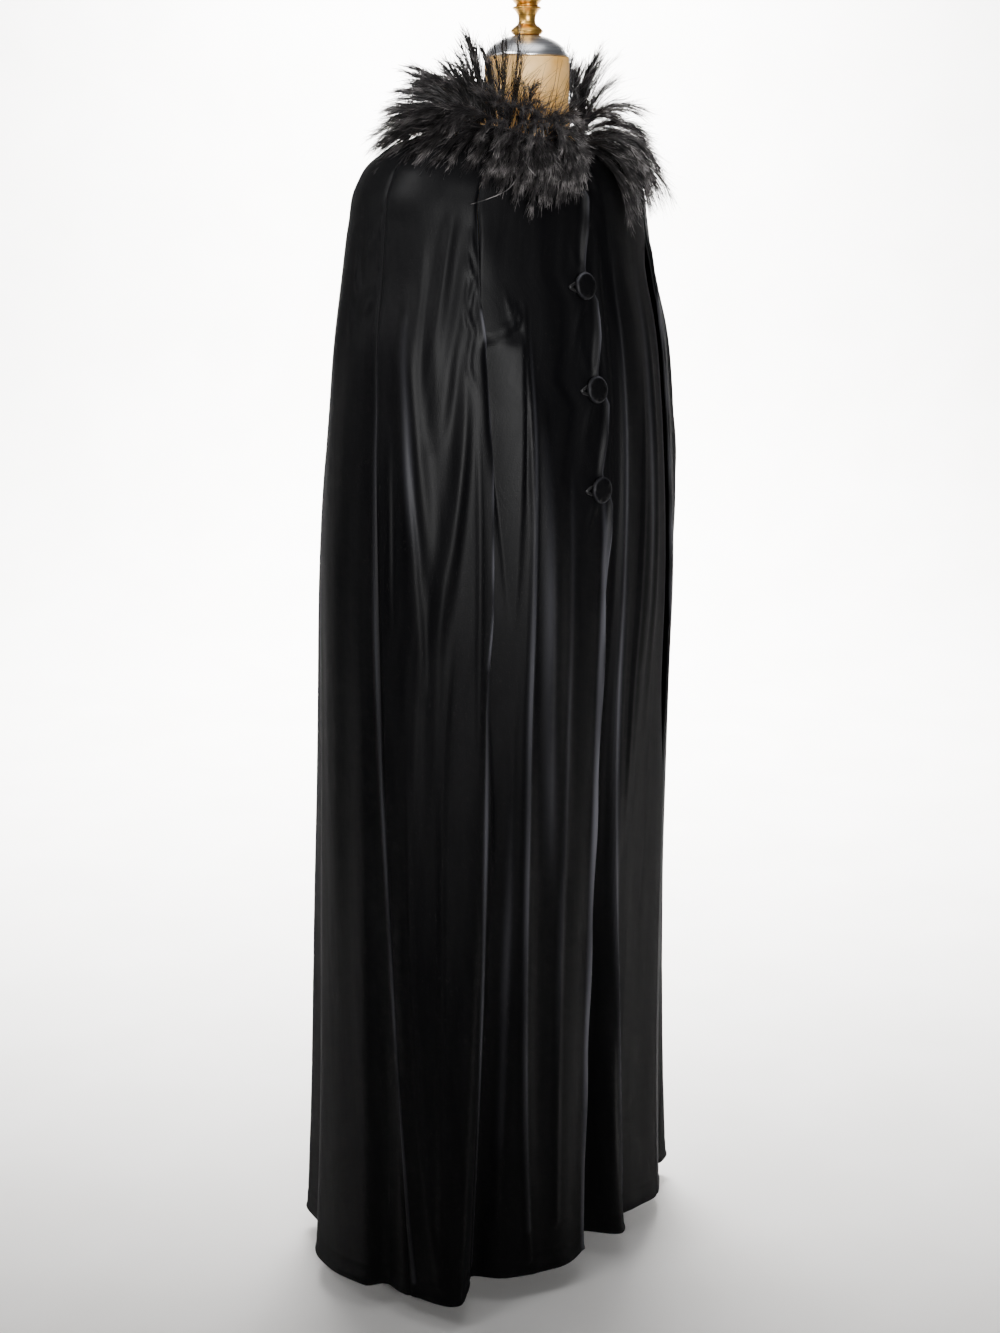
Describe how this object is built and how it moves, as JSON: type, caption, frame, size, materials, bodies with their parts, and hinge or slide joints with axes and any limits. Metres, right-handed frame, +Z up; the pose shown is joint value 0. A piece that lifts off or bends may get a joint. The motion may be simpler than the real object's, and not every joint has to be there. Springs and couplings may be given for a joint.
{
  "type": "velvet cape on a dress form",
  "caption": "Full-length black velvet cape with arm slits, loop-and-button front and feather collar, worn on a limbless dress form with a pole and round foot.",
  "frame": {"origin": "middle of the stand foot's underside, on the floor", "axes": "+Z up along the pole; the cape's front faces -Y; the wearer's left is +X"},
  "size_m": [0.5591, 0.4318, 1.6687],
  "materials": {
    "velvet": "black cotton velvet with a short pile",
    "feathers": "black feathers with brown-grey tips",
    "form_cover": "cream cloth cover, aged",
    "plated_cap": "spun and polished plated metal",
    "turned_brass": "turned and polished brass",
    "dark_wood": "turned, stained and varnished"
  },
  "bodies": {
    "root": {"cape_right_front": "velvet", "cape_right_side": "velvet", "cape_back": "velvet", "cape_left_side": "velvet", "cape_left_front": "velvet", "button_1": "velvet", "button_2": "velvet", "button_3": "velvet", "button_4": "velvet", "loop_1": "velvet", "loop_2": "velvet", "loop_3": "velvet", "loop_4": "velvet", "feather_trim": "feathers", "form_torso": "form_cover", "neck_cap": "plated_cap", "finial": "turned_brass", "stand_pole": "turned_brass", "stand_foot": "dark_wood"}
  },
  "joints": []
}
